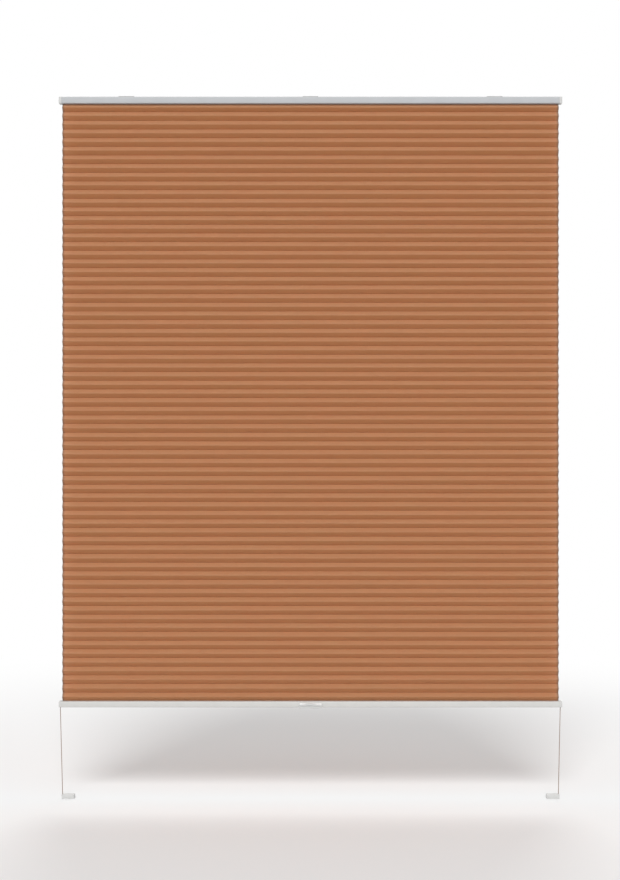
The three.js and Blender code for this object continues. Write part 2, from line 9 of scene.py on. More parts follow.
import bmesh
import bpy
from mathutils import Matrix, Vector

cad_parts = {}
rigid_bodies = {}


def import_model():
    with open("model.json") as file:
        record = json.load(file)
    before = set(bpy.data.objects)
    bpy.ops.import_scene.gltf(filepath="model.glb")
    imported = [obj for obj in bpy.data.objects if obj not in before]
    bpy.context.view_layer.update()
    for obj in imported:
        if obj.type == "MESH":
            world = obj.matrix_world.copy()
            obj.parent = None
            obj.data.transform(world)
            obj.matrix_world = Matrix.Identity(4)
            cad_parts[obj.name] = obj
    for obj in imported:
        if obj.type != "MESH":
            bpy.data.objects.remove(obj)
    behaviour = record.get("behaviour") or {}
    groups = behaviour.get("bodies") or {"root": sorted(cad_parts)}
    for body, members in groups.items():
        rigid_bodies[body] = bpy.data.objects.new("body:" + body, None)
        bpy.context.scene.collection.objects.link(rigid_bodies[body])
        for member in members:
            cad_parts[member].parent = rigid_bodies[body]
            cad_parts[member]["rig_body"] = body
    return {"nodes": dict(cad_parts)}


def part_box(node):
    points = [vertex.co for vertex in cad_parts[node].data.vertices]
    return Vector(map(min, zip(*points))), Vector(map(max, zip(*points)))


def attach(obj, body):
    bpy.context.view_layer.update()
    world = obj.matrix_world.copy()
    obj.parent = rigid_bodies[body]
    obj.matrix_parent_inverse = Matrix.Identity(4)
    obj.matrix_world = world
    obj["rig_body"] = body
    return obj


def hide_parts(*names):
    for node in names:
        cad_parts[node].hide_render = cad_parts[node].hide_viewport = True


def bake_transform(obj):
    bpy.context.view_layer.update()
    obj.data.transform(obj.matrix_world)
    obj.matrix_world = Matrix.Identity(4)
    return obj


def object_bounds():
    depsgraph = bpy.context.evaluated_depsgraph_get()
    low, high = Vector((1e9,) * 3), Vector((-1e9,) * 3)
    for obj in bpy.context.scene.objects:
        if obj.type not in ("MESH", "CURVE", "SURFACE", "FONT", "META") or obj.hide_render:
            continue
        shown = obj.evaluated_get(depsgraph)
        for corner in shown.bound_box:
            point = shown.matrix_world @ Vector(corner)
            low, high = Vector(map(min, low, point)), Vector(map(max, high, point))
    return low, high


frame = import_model()
cad_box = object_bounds()

MM = 0.001

# The photograph, in its own pixels
PICTURE_HEIGHT = 880
PICTURE_MIDDLE = (310, 440)
ORIGIN_PIXEL = (310.5, 95.95)  # where the frame's origin falls
FOCAL_PIXELS = 1870
PIXEL_SIZE = 2.3095 * MM  # at the plane of the cloth's front creases
SENSOR_HEIGHT = 24  # millimetres, as Blender takes it

# Light: what a white surface that is square to a source gets from it, where 1 is white
AMBIENT_LIGHT = 0.5
KEY_LIGHT = 0.58
KEY_HEIGHT = 38  # degrees above the horizon
KEY_SIDE = 4  # degrees to the left, as the camera sees it
BACK_LIGHT = 0.3
LIGHT_SPREAD = 24  # degrees across
FLOOR_RADIUS = 30
FLOOR_SIDES = 96
FLOOR_TONE = 0.88
FLOOR_FADE = (1.0, 3.0)  # distances from the blind between which the floor turns white

# Cloth
CELL_PITCH = 20 * MM
CELL_DEPTH = 22 * MM
LINE_STEP = 20.045 * MM  # from one glue line to the next, but for the flatter cells at the ends
LINES_MIDDLE = -707.3 * MM
GLUE_WIDTH = 5 * MM
CLOTH_THICKNESS = 0.45 * MM
GLUE_FOLD_RADIUS = 1.2 * MM
CREASE_RADIUS = 1.2 * MM
CREASE_SHARE = 0.04  # of a cell's height, from the crease to either end of its rounding
CREASE_THICKNESS = 0.12 * MM  # that the pressed fold stands out
SHARE_MARGIN = 0.001  # keeps the level faces at either end of a whole cell
LEVEL_LEAST = 0.99  # of the upward part of a level face's normal
FOLD_STEPS = 4
SECTION_CORNERS = 6
WAVE_LENGTH = 160 * MM
CREASE_WAVE = 1 * MM  # of the noise that moves the creases, which mostly stays within a quarter of it
CREASE_SINK = 0.5  # of the way that a crease swings out
FACE_SHIFT = 7  # keeps the waves of the front apart from those of the back
SPLIT_CELLS = 5  # cells at either end whose upper and lower halves are pieces of their own
CORD_PLACE = 480 * MM
CORD_HOLE = 3 * MM
SIDE_SHADE_WIDTH = 6 * MM  # along either side of the cloth, which painted shade darkens
OUTER_STEPS = 4  # from the strip of painted side shade to the cord's hole
MIDDLE_STEPS = 40  # between the two holes
PATTERN_SHIFT = 0.1  # metres between the cloth pattern's places on one cell and on the next

# Cords: the route's points as in the part's own source
CORD_DIAMETER = 1.4 * MM
CORD_SIDES = 12
CORD_BEND_RADIUS = 3 * MM
CORD_BEND_STEPS = 6
CORD_SHARP_ANGLE = math.radians(60)
HEADRAIL_CORD = (
    (83.6 * MM, 0, -10.7 * MM),
    (480 * MM, 0, -10.7 * MM),
    (480 * MM, 0, -17.5 * MM),
)
CELL_CORD = (
    (480 * MM, 0, -17.8 * MM),
    (480 * MM, 0, -1397.8 * MM),
)
RAIL_CORD = (
    (480 * MM, 0, -1398.1 * MM),
    (480 * MM, 0, -1404.4 * MM),
    (-578.7 * MM, -3.2 * MM, -1404.4 * MM),
    (-578.7 * MM, -3.2 * MM, -1412.1 * MM),
)
FREE_CORD = (
    (578.7 * MM, 3.2 * MM, -1411.9 * MM),
    (573.9 * MM, 0, -1616.2 * MM),
)
KNOT_CORD_DIAMETER = 1.1 * MM  # the cord's, drawn tight
KNOT_REACH = 0.85 * MM  # from the knot's middle to the cord's centreline
KNOT_RISE = 0.6 * MM
KNOT_STEPS = 54
HANDS = ((1, "right"), (-1, "left"))

# Finished copies of rigid nodes
MERGE_DISTANCE = 0.002 * MM
FLAT_ANGLE = math.radians(0.5)
SHARP_ANGLE = math.radians(30)
SOFT_EDGE_ANGLE = math.radians(8)
EDGE_SEGMENTS = 2
RAIL_EDGE = 0.25 * MM
MOULDED_EDGE = 0.2 * MM
FOOT_EDGE = 0.12 * MM
TAB_EDGE = 0.4 * MM

# Tones, as linear colours
CLOTH_TONE = (0.494, 0.189, 0.0794)
CLOTH_SECOND_TONE = (0.462, 0.198, 0.0763)
SIDE_SHADE_TONE = (0.33, 0.46, 0.68)  # multiplies the cloth's tone along its sides, as painted shade
# mixed into the cells' upper faces: settled dust, which also stands for painted sheen there
DUST_AND_SHEEN_TONE = (0.55, 0.48, 0.43)
# paler than the coats: settled dust that also paints light on upward faces
DUST_AND_TOP_LIGHT_TONE = (0.66, 0.64, 0.61)
CORD_TONE = (0.2, 0.09, 0.045)
RAIL_TONE = (0.585, 0.585, 0.567)
# the headrail's white coat, painted darker and cooler as the shade that falls on it
SHADED_HEADRAIL_TONE = (0.45, 0.463, 0.477)
PLASTIC_TONE = (0.58, 0.58, 0.57)
STEEL_TONE = (0.6, 0.62, 0.64)
# the pull tab: lighter on the polished grip as painted highlight, darker where frosted as painted
# shade
POLISHED_AND_GLINT_TONE = (0.86, 0.87, 0.86)
FROSTED_AND_SHADE_TONE = (0.62, 0.63, 0.62)

# Finishes: a pair is the value where a noise or mask is 0, and its rise to where that is 1
CLOTH_ROUGHNESS = (0.82, 0.16)
CLOTH_RELIEF = 0.08 * MM
CLOTH_SPECULAR = 0.25
CLOTH_SHEEN = 0.12
CLOTH_SHEEN_ROUGHNESS = 0.5
CLOTH_GLOW = 0.35  # share of the light that soaks in, some of which comes out inside the cells
CLOTH_GLOW_REACH = 5 * MM
WEFT_SHARE = 0.6  # of the streaks along the cloth in its fibres
FIBRE_WIDTH = 0.25 * MM
FIBRE_LENGTH = 6 * MM
FIBRE_CONTRAST = 0.2
PATCH_SIZE = 90 * MM
CLOTH_DUST_AND_SHEEN = 0.07  # settled dust and painted sheen on the upper faces of the cells
DUST_AND_SHEEN_EDGE = 50  # how sharply the dust and painted sheen end at a crease
DUST_AND_SHEEN_DOWNWARDS = (0.7, 0.8)  # of the dust and painted sheen, from a glue line down to the next
# patches in the dust and painted sheen
DUST_AND_SHEEN_PATCHES = (0.75, 0.5)
DUST_AND_TOP_LIGHT = 0.5  # settled dust and painted light on level coated and moulded faces
LEVEL_FACES = (0.5, 0.95)  # upward parts of a normal between which the dust and painted light come in
GRAIN_SHARE = 0.4  # of the fine grain in the tone, beside the patches
PATCH_GRAINS = 50  # grains across a patch
STRANDS = 4
BRAID_PITCH = 3 * MM
STRAND_SHADE = (0.7, 0.3)
CORD_FUZZ = 0.3 * MM
CORD_SHADE = (0.8, 0.4)
CORD_ROUGHNESS = (0.6, 0.2)
CORD_RELIEF = 0.12 * MM
CORD_SHEEN = 0.1
POWDER_COAT = {
    "grain_size": 0.5 * MM, "along": 4.0, "roughness": 0.42, "relief": 0.04 * MM, "change": 0.08,
}
MOULDED = {
    "grain_size": 0.4 * MM, "along": 1.0, "roughness": 0.48, "relief": 0.05 * MM, "change": 0.1,
}
DRAWN_STEEL = {
    "grain_size": 0.2 * MM, "along": 6.0, "roughness": 0.3, "relief": 0.004 * MM, "change": 0.03,
    "metallic": 1.0,
}

# Pull tab
THUMB_HOLLOW_MIDDLE = -1404.5 * MM
THUMB_HOLLOW_REACH = (17 * MM, 2.6 * MM)  # half its length and half its height
THUMB_HOLLOW_EDGE = 6  # how sharply the frosting and its painted shade end round the hollow
GRIP_BOTTOM = -1408 * MM
TAB_GRAIN = 0.25 * MM
TAB_TONE_CHANGE = 0.05
TAB_ROUGHNESS = (0.16, 0.45)
TAB_RELIEF = 0.03 * MM
TAB_POLISHED_RELIEF = 0.1  # of the frosted faces' relief
TAB_COAT_ROUGHNESS = 0.2
TAB_CLEARNESS = 0.12
TAB_REFRACTION = 1.49

FLOAT = "NodeSocketFloat"
COLOUR = "NodeSocketColor"
VECTOR = "NodeSocketVector"
MATERIAL = "NodeSocketMaterial"
GEOMETRY = "NodeSocketGeometry"
WHITE = (1, 1, 1, 1)


class Nodes:
    """A node tree that is written in short calls, for shaders and for geometry alike."""

    def __init__(self, tree):
        self.tree = tree

    def add(self, kind, inputs=None, **settings):
        node = self.tree.nodes.new(kind)
        for setting, value in settings.items():
            setattr(node, setting, value)
        for name, value in (inputs or {}).items():
            if isinstance(value, bpy.types.NodeSocket):
                self.tree.links.new(value, node.inputs[name])
            else:
                node.inputs[name].default_value = value
        return node

    def calc(self, operation, *values):
        inputs = dict(enumerate(values))
        return self.add("ShaderNodeMath", inputs, operation=operation).outputs[0]

    def rising(self, least, rise, value):
        """The least where the value is 0, and the whole rise above it where the value is 1."""
        return self.calc("ADD", least, self.calc("MULTIPLY", value, rise))

    def weighed(self, share, first, second):
        """The sum of two values, weighed so that the first has that share."""
        first_part = self.calc("MULTIPLY", first, share)
        second_part = self.calc("MULTIPLY", second, 1 - share)
        return self.calc("ADD", first_part, second_part)

    def smoothed(self, value, start, end):
        """A smooth step from 0 at the start to 1 at the end."""
        inputs = {"Value": value, "From Min": start, "From Max": end}
        return self.add("ShaderNodeMapRange", inputs, interpolation_type="SMOOTHSTEP").outputs[0]

    def vector(self, x, y, z):
        return self.add("ShaderNodeCombineXYZ", {0: x, 1: y, 2: z}).outputs[0]

    def parts(self, vector):
        return self.add("ShaderNodeSeparateXYZ", {0: vector}).outputs

    def scaled(self, vector, factors):
        inputs = {0: vector, 1: factors}
        return self.add("ShaderNodeVectorMath", inputs, operation="MULTIPLY").outputs[0]

    def mixed(self, share, first, second):
        inputs = {0: share, 6: first, 7: second}
        return self.add("ShaderNodeMix", inputs, data_type="RGBA").outputs[2]

    def noise(self, place, scale, detail=2.0):
        inputs = {"Vector": place, "Scale": scale, "Detail": detail}
        return self.add("ShaderNodeTexNoise", inputs).outputs["Fac"]

    def placed(self, group, inputs):
        return self.add("ShaderNodeGroup", inputs, node_tree=group).outputs

    def object_place(self):
        return self.add("ShaderNodeTexCoord").outputs["Object"]

    def attribute(self, name):
        return self.add("ShaderNodeAttribute", attribute_name=name).outputs


def new_group(name, kind, inputs, outputs):
    """An empty node group with its sockets, and its input and output nodes."""
    tree = bpy.data.node_groups.new(name, kind)
    for direction, sockets in (("INPUT", inputs), ("OUTPUT", outputs)):
        for title, socket_type, value in sockets:
            socket = tree.interface.new_socket(title, in_out=direction, socket_type=socket_type)
            if value is not None:
                socket.default_value = value
    nodes = Nodes(tree)
    given = nodes.add("NodeGroupInput").outputs
    result = nodes.add("NodeGroupOutput").inputs
    return nodes, given, result


# Camera and stage


def make_camera(crease_plane):
    camera = bpy.data.cameras.new("camera")
    camera.sensor_fit = "VERTICAL"
    camera.sensor_height = SENSOR_HEIGHT
    camera.lens = FOCAL_PIXELS / PICTURE_HEIGHT * SENSOR_HEIGHT
    viewer = bpy.data.objects.new("camera", camera)
    across = (PICTURE_MIDDLE[0] - ORIGIN_PIXEL[0]) * PIXEL_SIZE
    up = (ORIGIN_PIXEL[1] - PICTURE_MIDDLE[1]) * PIXEL_SIZE
    viewer.location = (across, crease_plane - FOCAL_PIXELS * PIXEL_SIZE, up)
    viewer.rotation_euler = (math.radians(90), 0, 0)
    bpy.context.scene.collection.objects.link(viewer)
    bpy.context.scene.camera = viewer


def seen_directly(nodes):
    """1 for rays from the camera, in reflections and through clear plastic, and 0 for other light."""
    rays = nodes.add("ShaderNodeLightPath").outputs
    either = nodes.calc("MAXIMUM", rays["Is Camera Ray"], rays["Is Glossy Ray"])
    return nodes.calc("MAXIMUM", either, rays["Is Transmission Ray"])


def make_world():
    world = bpy.data.worlds.new("studio")
    world.use_nodes = True
    world.node_tree.nodes.clear()
    nodes = Nodes(world.node_tree)
    light = nodes.add("ShaderNodeBackground", {"Color": WHITE, "Strength": AMBIENT_LIGHT})
    white = nodes.add("ShaderNodeBackground", {"Color": WHITE, "Strength": 1})
    inputs = {0: seen_directly(nodes), 1: light.outputs[0], 2: white.outputs[0]}
    chosen = nodes.add("ShaderNodeMixShader", inputs)
    nodes.add("ShaderNodeOutputWorld", {"Surface": chosen.outputs[0]})
    bpy.context.scene.world = world


def make_sun(name, brightness, direction):
    light = bpy.data.lights.new(name, "SUN")
    light.energy = brightness * math.pi
    light.angle = math.radians(LIGHT_SPREAD)
    lamp = bpy.data.objects.new(name, light)
    lamp.rotation_euler = Vector(direction).to_track_quat("-Z", "Y").to_euler()
    bpy.context.scene.collection.objects.link(lamp)


def make_lights():
    height = math.radians(KEY_HEIGHT)
    side = math.radians(KEY_SIDE)
    level = math.cos(height)
    towards = (level * math.sin(side), level * math.cos(side), -math.sin(height))
    make_sun("key_light", KEY_LIGHT, towards)
    make_sun("back_light", BACK_LIGHT, (-towards[0], -towards[1], towards[2]))


def make_floor(height):
    disc = bmesh.new()
    bmesh.ops.create_circle(disc, cap_ends=True, radius=FLOOR_RADIUS, segments=FLOOR_SIDES)
    bmesh.ops.translate(disc, verts=disc.verts, vec=(0, 0, height))
    mesh = bpy.data.meshes.new("floor")
    disc.to_mesh(mesh)
    disc.free()
    floor = bpy.data.objects.new("floor", mesh)
    bpy.context.scene.collection.objects.link(floor)
    mesh.materials.append(floor_finish())


def floor_finish():
    material, nodes, _ = new_material("pale_floor")
    material.node_tree.nodes.clear()
    level_place = nodes.scaled(nodes.object_place(), (1, 1, 0))
    distance = nodes.add("ShaderNodeVectorMath", {0: level_place}, operation="LENGTH").outputs["Value"]
    fade = nodes.smoothed(distance, *FLOOR_FADE)
    tone = (FLOOR_TONE, FLOOR_TONE, FLOOR_TONE, 1)
    matt = nodes.add("ShaderNodeBsdfDiffuse", {"Color": tone})
    white = nodes.add("ShaderNodeEmission", {"Color": WHITE, "Strength": 1})
    share = nodes.calc("MULTIPLY", fade, seen_directly(nodes))
    chosen = nodes.add("ShaderNodeMixShader", {0: share, 1: matt.outputs[0], 2: white.outputs[0]})
    nodes.add("ShaderNodeOutputMaterial", {"Surface": chosen.outputs[0]})
    return material


# Finishes


def new_material(name):
    material = bpy.data.materials.new(name)
    material.use_nodes = True
    nodes = Nodes(material.node_tree)
    return material, nodes, material.node_tree.nodes["Principled BSDF"]


def tone_gain(nodes, noise, change):
    """A grey factor about 1, which a noise moves up and down by as much as the change."""
    swing = nodes.calc("MULTIPLY", nodes.calc("SUBTRACT", noise, 0.5), change)
    gain = nodes.calc("ADD", 1, nodes.calc("MULTIPLY", swing, 2))
    return nodes.vector(gain, gain, gain)


def surface_grain():
    """Fine grain, faint patches, and settled dust that also paints light on upward faces, for coated
    metal and moulded plastic.
    """
    nodes, given, result = new_group(
        "surface_grain", "ShaderNodeTree",
        [
            ("Place", VECTOR, None),
            ("Tone", COLOUR, WHITE),
            ("Grain Size", FLOAT, 0.7 * MM),
            ("Along", FLOAT, 1.0),
            ("Tone Change", FLOAT, 0.03),
            ("Roughness", FLOAT, 0.4),
            ("Roughness Change", FLOAT, 0.1),
            ("Upwards", FLOAT, 0.0),
            # settled dust with painted light on upward faces
            ("Dust And Light", FLOAT, 0.0),
            ("Dust And Light Tone", COLOUR, WHITE),
        ],
        [("Colour", COLOUR, None), ("Roughness", FLOAT, None), ("Height", FLOAT, None)],
    )
    stretch = nodes.vector(nodes.calc("DIVIDE", 1, given["Along"]), 1, 1)
    drawn = nodes.scaled(given["Place"], stretch)
    fine = nodes.noise(drawn, nodes.calc("DIVIDE", 1, given["Grain Size"]), 3)
    patch_scale = nodes.calc("DIVIDE", 1 / PATCH_GRAINS, given["Grain Size"])
    patches = nodes.noise(given["Place"], patch_scale, 2)
    both = nodes.weighed(GRAIN_SHARE, fine, patches)
    clean = nodes.scaled(given["Tone"], tone_gain(nodes, both, given["Tone Change"]))
    # dust paler than the coat, with painted light, on upward faces
    level = nodes.smoothed(given["Upwards"], *LEVEL_FACES)
    dust_and_light = nodes.calc("MULTIPLY", level, nodes.calc("MULTIPLY", both, given["Dust And Light"]))
    rougher = nodes.calc("MULTIPLY", nodes.calc("SUBTRACT", patches, 0.5), given["Roughness Change"])
    rough = nodes.calc("ADD", given["Roughness"], nodes.calc("ADD", rougher, dust_and_light))
    nodes.tree.links.new(nodes.mixed(dust_and_light, clean, given["Dust And Light Tone"]), result["Colour"])
    nodes.tree.links.new(rough, result["Roughness"])
    nodes.tree.links.new(fine, result["Height"])
    return nodes.tree


def spun_cloth():
    """Pressed polyester fibres: streaks along the cloth, crossing fibres and soft patches of tone,
    with settled dust and painted sheen on the upper faces and painted shade along the sides.
    """
    nodes, given, result = new_group(
        "spun_cloth", "ShaderNodeTree",
        [
            ("Cloth Place", VECTOR, None),
            ("Tone", COLOUR, WHITE),
            ("Second Tone", COLOUR, WHITE),
            ("Fibre Width", FLOAT, FIBRE_WIDTH),
            ("Fibre Length", FLOAT, FIBRE_LENGTH),
            ("Patch Size", FLOAT, PATCH_SIZE),
            ("Contrast", FLOAT, FIBRE_CONTRAST),
            # settled dust with painted sheen on the upper faces
            ("Dust And Light", FLOAT, 0.0),
            ("Dust And Light Tone", COLOUR, WHITE),
            # painted shade along the cloth's sides
            ("Side Shade", FLOAT, 0.0),
            ("Side Shade Tone", COLOUR, WHITE),
        ],
        [("Colour", COLOUR, None), ("Roughness", FLOAT, None), ("Height", FLOAT, None)],
    )
    place = given["Cloth Place"]
    across = nodes.calc("DIVIDE", 1, given["Fibre Width"])
    along = nodes.calc("DIVIDE", 1, given["Fibre Length"])
    streaks = nodes.noise(nodes.scaled(place, nodes.vector(along, across, across)), 1, 3)
    crossing = nodes.noise(nodes.scaled(place, nodes.vector(across, along, across)), 1, 3)
    fibres = nodes.weighed(WEFT_SHARE, streaks, crossing)
    patches = nodes.noise(place, nodes.calc("DIVIDE", 1, given["Patch Size"]), 3)
    tone = nodes.mixed(patches, given["Tone"], given["Second Tone"])
    spun = nodes.scaled(tone, tone_gain(nodes, fibres, given["Contrast"]))
    # painted shade along the cloth's sides
    side_shade = nodes.mixed(given["Side Shade"], spun, nodes.scaled(spun, given["Side Shade Tone"]))
    # settled dust and painted sheen
    dust_and_light = nodes.calc("MULTIPLY", given["Dust And Light"], nodes.rising(*DUST_AND_SHEEN_PATCHES, patches))
    nodes.tree.links.new(nodes.mixed(dust_and_light, side_shade, given["Dust And Light Tone"]), result["Colour"])
    nodes.tree.links.new(nodes.rising(*CLOTH_ROUGHNESS, fibres), result["Roughness"])
    nodes.tree.links.new(fibres, result["Height"])
    return nodes.tree


def braid():
    """Two sets of strands that wind round a cord and cross each other."""
    nodes, given, result = new_group(
        "braid", "ShaderNodeTree",
        [
            ("Around", FLOAT, 0.0),
            ("Along", FLOAT, 0.0),
            ("Strands", FLOAT, STRANDS),
            ("Pitch", FLOAT, BRAID_PITCH),
        ],
        [("Height", FLOAT, None), ("Shade", FLOAT, None)],
    )
    turns = nodes.calc("DIVIDE", given["Along"], given["Pitch"])
    half_turns = nodes.calc("MULTIPLY", given["Strands"], math.pi)
    ridges = []
    for way in (1, -1):
        lean = nodes.calc("ADD", given["Around"], nodes.calc("MULTIPLY", turns, way))
        wave = nodes.calc("SINE", nodes.calc("MULTIPLY", lean, half_turns))
        ridges.append(nodes.calc("ABSOLUTE", wave))
    top = nodes.calc("MAXIMUM", *ridges)
    nodes.tree.links.new(top, result["Height"])
    nodes.tree.links.new(nodes.rising(*STRAND_SHADE, top), result["Shade"])
    return nodes.tree


def colour_surface(nodes, shader, made):
    nodes.tree.links.new(made["Colour"], shader.inputs["Base Color"])
    nodes.tree.links.new(made["Roughness"], shader.inputs["Roughness"])


def bump(nodes, shader, height, depth):
    """Lets a height of that depth in metres bend the surface."""
    bumped = nodes.add("ShaderNodeBump", {"Height": height, "Distance": depth, "Strength": 1.0})
    nodes.tree.links.new(bumped.outputs[0], shader.inputs["Normal"])


def grained_finish(name, group, tone, grain_size, along, roughness, relief, change, metallic=0.0):
    """A coated, moulded or drawn surface whose grain follows the object's own place."""
    material, nodes, shader = new_material(name)
    facing = nodes.parts(nodes.add("ShaderNodeNewGeometry").outputs["Normal"])
    made = nodes.placed(group, {
        "Place": nodes.object_place(),
        "Tone": (*tone, 1),
        "Grain Size": grain_size,
        "Along": along,
        "Tone Change": change,
        "Roughness": roughness,
        "Upwards": facing[2],
        # settled dust, paler than the coat, with painted light on upward faces
        "Dust And Light": DUST_AND_TOP_LIGHT,
        "Dust And Light Tone": (*DUST_AND_TOP_LIGHT_TONE, 1),
    })
    colour_surface(nodes, shader, made)
    bump(nodes, shader, made["Height"], relief)
    shader.inputs["Metallic"].default_value = metallic
    return material


def tab_finish(group):
    """Milky plastic, polished on the grip and frosted in the thumb hollow and below the grip, lighter
    on the grip as painted highlight and darker where frosted as painted shade.
    """
    material, nodes, shader = new_material("milky_clear_plastic")
    place = nodes.object_place()
    x, _, z = nodes.parts(place)
    across = nodes.calc("DIVIDE", x, THUMB_HOLLOW_REACH[0])
    above = nodes.calc("DIVIDE", nodes.calc("SUBTRACT", z, THUMB_HOLLOW_MIDDLE), THUMB_HOLLOW_REACH[1])
    squares = [nodes.calc("MULTIPLY", way, way) for way in (across, above)]
    outwards = nodes.calc("MINIMUM", nodes.calc("ADD", *squares), 1)
    hollow = nodes.calc("SUBTRACT", 1, nodes.calc("POWER", outwards, THUMB_HOLLOW_EDGE))
    frost_and_shade = nodes.calc("MAXIMUM", hollow, nodes.calc("LESS_THAN", z, GRIP_BOTTOM))
    made = nodes.placed(group, {
        "Place": place,
        # painted highlight on the polished grip, painted shade in the hollow and below the grip
        "Tone": nodes.mixed(frost_and_shade, (*POLISHED_AND_GLINT_TONE, 1), (*FROSTED_AND_SHADE_TONE, 1)),
        "Grain Size": TAB_GRAIN,
        "Tone Change": TAB_TONE_CHANGE,
        "Roughness": nodes.rising(*TAB_ROUGHNESS, frost_and_shade),
    })
    colour_surface(nodes, shader, made)
    nodes.tree.links.new(nodes.calc("SUBTRACT", 1, frost_and_shade), shader.inputs["Coat Weight"])
    relief = nodes.calc("MULTIPLY", made["Height"], nodes.calc("ADD", TAB_POLISHED_RELIEF, frost_and_shade))
    bump(nodes, shader, relief, TAB_RELIEF)
    shader.inputs["Coat Roughness"].default_value = TAB_COAT_ROUGHNESS
    shader.inputs["Transmission Weight"].default_value = TAB_CLEARNESS
    shader.inputs["IOR"].default_value = TAB_REFRACTION
    return material


def cloth_finish(group):
    material, nodes, shader = new_material("terracotta_cloth")
    made = nodes.placed(group, {
        "Cloth Place": nodes.attribute("cloth_place")["Vector"],
        "Tone": (*CLOTH_TONE, 1),
        "Second Tone": (*CLOTH_SECOND_TONE, 1),
        # settled dust with painted sheen on the upper faces
        "Dust And Light": nodes.calc("MULTIPLY", nodes.attribute("dust_and_sheen")["Fac"], CLOTH_DUST_AND_SHEEN),
        "Dust And Light Tone": (*DUST_AND_SHEEN_TONE, 1),
        # painted shade along the cloth's sides
        "Side Shade": nodes.attribute("painted_side_shade")["Fac"],
        "Side Shade Tone": (*SIDE_SHADE_TONE, 1),
    })
    colour_surface(nodes, shader, made)
    bump(nodes, shader, made["Height"], CLOTH_RELIEF)
    shader.inputs["Specular IOR Level"].default_value = CLOTH_SPECULAR
    shader.inputs["Sheen Weight"].default_value = CLOTH_SHEEN
    shader.inputs["Sheen Roughness"].default_value = CLOTH_SHEEN_ROUGHNESS
    shader.inputs["Subsurface Weight"].default_value = CLOTH_GLOW
    shader.inputs["Subsurface Radius"].default_value = (1, 1, 1)
    shader.inputs["Subsurface Scale"].default_value = CLOTH_GLOW_REACH
    return material


def cord_finish(group):
    material, nodes, shader = new_material("braided_cord")
    yarn = nodes.parts(nodes.add("ShaderNodeUVMap", uv_map="yarn").outputs[0])
    place = nodes.object_place()
    along = nodes.calc("SUBTRACT", yarn[1], nodes.parts(place)[2])
    made = nodes.placed(group, {"Around": yarn[0], "Along": along})
    fuzz = nodes.noise(place, 1 / CORD_FUZZ, 2)
    shade = nodes.calc("MULTIPLY", made["Shade"], nodes.rising(*CORD_SHADE, fuzz))
    tone = nodes.scaled(nodes.vector(shade, shade, shade), CORD_TONE)
    nodes.tree.links.new(tone, shader.inputs["Base Color"])
    nodes.tree.links.new(nodes.rising(*CORD_ROUGHNESS, fuzz), shader.inputs["Roughness"])
    bump(nodes, shader, made["Height"], CORD_RELIEF)
    shader.inputs["Sheen Weight"].default_value = CORD_SHEEN
    return material


# Cloth cells


def ramp(nodes, index, start, count, step):
    """Grows by step with each index from start, count times."""
    passed = nodes.calc("SUBTRACT", index, start)
    limited = nodes.calc("MINIMUM", nodes.calc("MAXIMUM", passed, 0), count)
    return nodes.calc("MULTIPLY", limited, step)


def section_corners(nodes, given):
    """The cell's folds, from the front end of its upper glue line down the front and up the back."""
    last = SECTION_CORNERS - 1
    index = nodes.add("GeometryNodeInputIndex").outputs[0]
    row = nodes.calc("MINIMUM", index, nodes.calc("SUBTRACT", last, index))
    side = nodes.calc("SIGN", nodes.calc("SUBTRACT", index, last / 2))
    crease = nodes.calc("SUBTRACT", 1, nodes.calc("ABSOLUTE", nodes.calc("SUBTRACT", row, 1)))
    reach = nodes.calc("SUBTRACT", given["Depth"], given["Glue Width"])
    width = nodes.rising(given["Glue Width"], reach, crease)
    y = nodes.calc("MULTIPLY", side, nodes.calc("DIVIDE", width, 2))
    drop = nodes.calc("MULTIPLY", row, nodes.calc("DIVIDE", given["Pitch"], 2))
    z = nodes.calc("SUBTRACT", given["Upper Line"], drop)
    line = nodes.add("GeometryNodeMeshLine", {"Count": SECTION_CORNERS}).outputs[0]
    inputs = {"Geometry": line, "Position": nodes.vector(0, y, z)}
    corners = nodes.add("GeometryNodeSetPosition", inputs).outputs[0]
    curve = nodes.add("GeometryNodeMeshToCurve", {0: corners}).outputs[0]
    closed = nodes.add("GeometryNodeSetSplineCyclic", {"Geometry": curve, "Cyclic": True}).outputs[0]
    softer = nodes.calc("SUBTRACT", given["Crease Radius"], given["Glue Fold Radius"])
    radius = nodes.rising(given["Glue Fold Radius"], softer, crease)
    inputs = {"Curve": closed, "Radius": radius, "Count": FOLD_STEPS}
    return nodes.add("GeometryNodeFilletCurve", inputs, mode="POLY").outputs[0]


def sampled(nodes, source, value, index, kind):
    inputs = {"Geometry": source, "Value": value, "Index": index}
    return nodes.add("GeometryNodeSampleIndex", inputs, data_type=kind, domain="POINT").outputs[0]


def stored(nodes, geometry, name, value, kind="FLOAT"):
    inputs = {"Geometry": geometry, "Name": name, "Value": value}
    store = nodes.add("GeometryNodeStoreNamedAttribute", inputs, data_type=kind, domain="POINT")
    return store.outputs[0]


